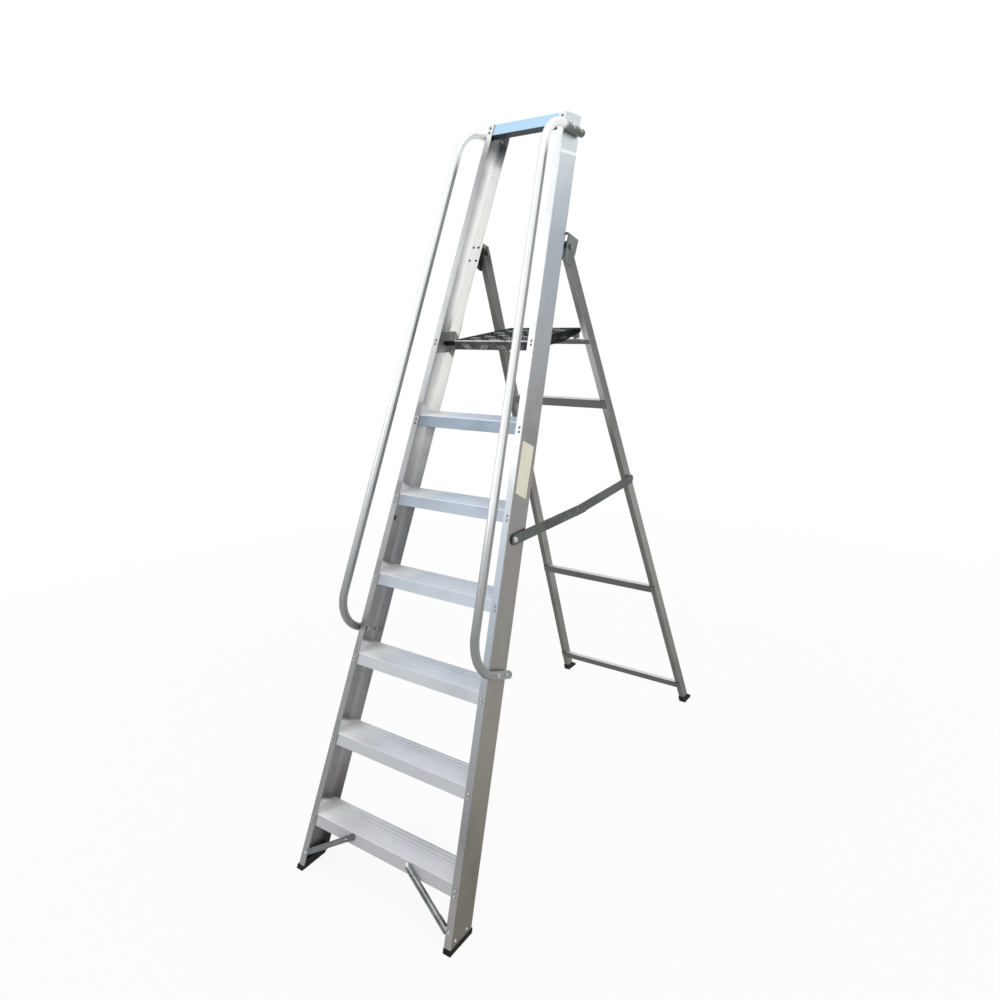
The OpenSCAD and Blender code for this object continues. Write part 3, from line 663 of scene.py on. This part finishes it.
# %% hand out the finishes
dressing = [
    ("stile_left", "stile_left"), ("stile_right", "stile_right"),
    ("tread_rivets", "rivet"), ("tread_", "tread"), ("top_bar", "top_bar"),
    ("handrail_bolts", "bolt"), ("handrail_left", "rail_left"), ("handrail_right", "rail_right"),
    ("foot_rivets", "zinc"), ("foot_", "rubber"),
    ("brace_bolts", "zinc"), ("brace_left", "brace_left"), ("brace_right", "brace_right"),
    ("hinge_bracket_left", "shaded"), ("hinge_bracket", "steel"), ("hinge_pin", "dull"),
    ("bracket_rivets", "rivet"), ("platform_bracket", "bracket"), ("platform_pin", "nylon"),
    ("platform_hook", "steel"), ("platform_rest", "bar"), ("platform_rivets", "rivet"),
    ("platform_deck", "plate"),
    ("stay_bolt_front", "zinc"), ("stay_bolt", "steel"), ("stay_rivets", "steel"),
    ("stay_", "stay"),
    ("leg_left", "leg_left"), ("leg_right", "leg_right"), ("cross_bar", "bar"),
    ("rear_rivets", "dull"),
]
for name, piece in nodes.items():
    kind = next(look for start, look in dressing if name.startswith(start))
    piece.data.materials.clear()
    piece.data.materials.append(finish[kind])
print("dressed", len(nodes), "solids")

# %% [markdown]
# ## Raised bars of the plate
# Chequer plate is rolled with staggered rows of raised bars, in groups of three that
# slant to the left and to the right by turns. A bump in the material would look flat from
# the side, so the bars are real. One bar is a ring of ten corners, drawn out to a long
# oval, raised and narrowed so that its top is smaller than its foot. The rows run over
# the bend: the first lies on the front flange, the others follow on the top.

# %% one raised bar
bar_long, bar_wide, bar_high, bar_corners = 0.0112, 0.0014, 0.0010, 10
top_long, top_wide = 0.86, 0.45
group_pitch, row_pitch, bar_gap = 0.065, 0.0325, 0.0098


def raised_vertices(bm, face, lift):
    """Extrude a face by a vector and give the vertices of its new end."""
    grown = bmesh.ops.extrude_face_region(bm, geom=[face])["geom"]
    corners = [v for v in grown if isinstance(v, bmesh.types.BMVert)]
    bmesh.ops.translate(bm, verts=corners, vec=lift)
    return corners


def raised_bar(bm, where):
    oval = where @ Matrix.Diagonal((bar_long, bar_wide, 1.0, 1.0))
    ring = bmesh.ops.create_circle(bm, cap_ends=True, radius=1.0, segments=bar_corners, matrix=oval)
    face = ring["verts"][0].link_faces[0]
    corners = raised_vertices(bm, face, where.to_3x3() @ Vector((0.0, 0.0, bar_high)))
    narrow = Matrix.Diagonal((top_long, top_wide, 1.0, 1.0))
    bmesh.ops.transform(bm, verts=corners, matrix=narrow, space=where.inverted())


def bar_group(bm, middle, slant):
    for step in (-1, 0, 1):
        beside = middle @ Matrix.Translation((step * bar_gap, 0.0, 0.0))
        raised_bar(bm, beside @ Matrix.Rotation(slant, 4, "Z"))


print("bars", round(bar_high * 1000, 1), "mm high")

# %% bars on the top and the front flange
sort_way = Vector((0.531, 0.747, 0.401))


def face_order(face):
    """Extrude leaves its faces in another order at each run; this gives them a fixed one."""
    return face.calc_center_median().dot(sort_way)


def finished(name, bm, body, look):
    bmesh.ops.recalc_face_normals(bm, faces=bm.faces)
    bm.faces.sort(key=face_order)
    made = bpy.data.objects.new(name, bpy.data.meshes.new(name))
    bm.to_mesh(made.data)
    bm.free()
    scene.collection.objects.link(made)
    made.data.materials.append(finish[look])
    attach(made, body)
    return made


front_edge, plate_top, half_wide, rows = -0.011, 0.0125, 0.118, 10
below, first_group, bar_slant = -0.0090, -0.0234, 45.0
flange = deck @ Matrix.Translation((0.0, front_edge, below)) @ quarter
bm = bmesh.new()
for row in range(rows):
    behind = row * row_pitch - (plate_top - below)
    top = deck @ Matrix.Translation((0.0, front_edge + behind, plate_top))
    for k in range(-3, 4):
        x = first_group + k * group_pitch + (row % 2) * group_pitch / 2
        slant = math.radians(bar_slant if (k + row // 2) % 2 == 0 else -bar_slant)
        if abs(x) < half_wide:
            bar_group(bm, (top if row else flange) @ Matrix.Translation((x, 0.0, 0.0)), slant)
chequer = finished("chequer_bars", bm, "platform", "bars")
print(len(chequer.data.polygons), "faces of chequer bars")

# %% [markdown]
# ## A blank sticker
# A small sheet of cream paper, lightly stained, is glued to the right stile's web below
# the platform. A plane would do for one view, but its edge shows from the side: so four
# corners in the web's own frame make a face, the corners are rounded with a bevel, and
# the face is drawn out by the thickness of the paper.


# %% paper
def paper(name, colour):
    made, surface, place = start_material(name)
    stain = noise(place, 26.0, 5.0).band(0.5, 0.8)
    fibre = noise(place, 900.0, 2.0)
    stained = (stain * 0.15).blend(shade(colour), (0.50, 0.46, 0.36, 1.0))
    set_surface(surface, stained, fibre * 0.2 + stain * 0.15 + 0.35, fibre, 0.1, 0.0002)
    return made


finish["paper"] = paper("sticker_paper", (0.97, 0.93, 0.77))
print(len(finish), "finishes in all")

# %% sticker
glue, thick, corner = 0.0001, 0.0002, 0.004
outline = [(0.0095, 1.395), (0.008, 1.2437), (0.066, 1.2357), (0.071, 1.392)]
bm = bmesh.new()
places = [right_side @ Vector((glue, inward, slope)) for inward, slope in outline]
bm.faces.new([bm.verts.new(at) for at in places])
bmesh.ops.bevel(bm, geom=bm.verts[:], offset=corner, segments=4, profile=0.5,
                affect="VERTICES", material=-1)
bm.faces.ensure_lookup_table()
raised_vertices(bm, bm.faces[0], right_side.to_3x3() @ Vector((thick, 0.0, 0.0)))
sticker = finished("blank_sticker", bm, "front_frame", "paper")
print(len(sticker.data.polygons), "faces of sticker")

# %% [markdown]
# ## The room
# A pale floor, a white surround and soft lamps. Floor and surround are white where the
# camera or a reflection sees them, and gentler as lights, so the metal mirrors a bright
# room without being washed out. Near the ladder a share of the floor's own shading stays
# in what the camera sees, which keeps the shadow; further off it fades out.

# %% floor
room_light, shadow_share = 0.55, 0.09
floor_half, shadow_near, shadow_far = 30.0, 1.0, 4.5


def shown(wire):
    """1 for the rays that see a surface, 0 for those that it lights others by."""
    rays = ("Is Camera Ray", "Is Glossy Ray", "Is Transmission Ray")
    camera_ray, glossy, through = [wire.node("ShaderNodeLightPath", out=ray) for ray in rays]
    return (camera_ray + glossy + through).clip()


bm = bmesh.new()
bmesh.ops.create_grid(bm, x_segments=1, y_segments=1, size=floor_half)
floor = bpy.data.objects.new("floor", bpy.data.meshes.new("floor"))
bm.to_mesh(floor.data)
bm.free()
scene.collection.objects.link(floor)
floor_look, floor_surface, place = start_material("pale_floor")
floor_surface.inputs["Base Color"].default_value = grey(0.86)
floor_surface.inputs["Roughness"].default_value = 0.9
white = place.node("ShaderNodeEmission", Color=grey(1.0), Strength=1.0)
lit = Wire(floor_look.node_tree, floor_surface.outputs[0])
distance = place.node("ShaderNodeVectorMath", {"operation": "LENGTH"}, out="Value", i0=place)
away = distance.band(shadow_near, shadow_far)
whiter = shown(place) * (away * shadow_share + (1.0 - shadow_share))
mixed = place.node("ShaderNodeMixShader", i0=whiter, i1=lit, i2=white)
place.feed(floor_look.node_tree.nodes["Material Output"].inputs["Surface"], mixed)
floor.data.materials.append(floor_look)
print("floor", [round(x) for x in floor.dimensions], "m")

# %% surround and lamps
world = bpy.data.worlds.new("surround")
scene.world = world
world.use_nodes = True
sky = world.node_tree.nodes["Background"]
sky.inputs["Color"].default_value = grey(1.0)
wire = Wire(world.node_tree, None)
wire.feed(sky.inputs["Strength"], shown(wire) * (1.0 - room_light) + room_light)


def soft_lamp(name, at, target, size, watts, colour):
    lamp = bpy.data.objects.new(name, bpy.data.lights.new(name, "AREA"))
    lamp.data.shape, lamp.data.size = "DISK", size
    lamp.data.energy, lamp.data.color = watts, colour
    lamp.location = at
    lamp.rotation_euler = (Vector(target) - Vector(at)).to_track_quat("-Z", "Y").to_euler()
    scene.collection.objects.link(lamp)


soft_lamp("key", (-2.4, -4.2, 4.2), (0.0, 0.0, 1.0), 2.6, 45.0, (0.94, 0.97, 1.0))
soft_lamp("top", (0.3, 0.4, 5.2), (0.0, 0.0, 1.0), 3.0, 80.0, (1.0, 1.0, 1.0))
soft_lamp("side", (3.1, 2.2, 2.0), (-0.15, 0.0, 1.9), 1.6, 7.5, (1.0, 1.0, 0.98))
print("floor, surround and lamps")
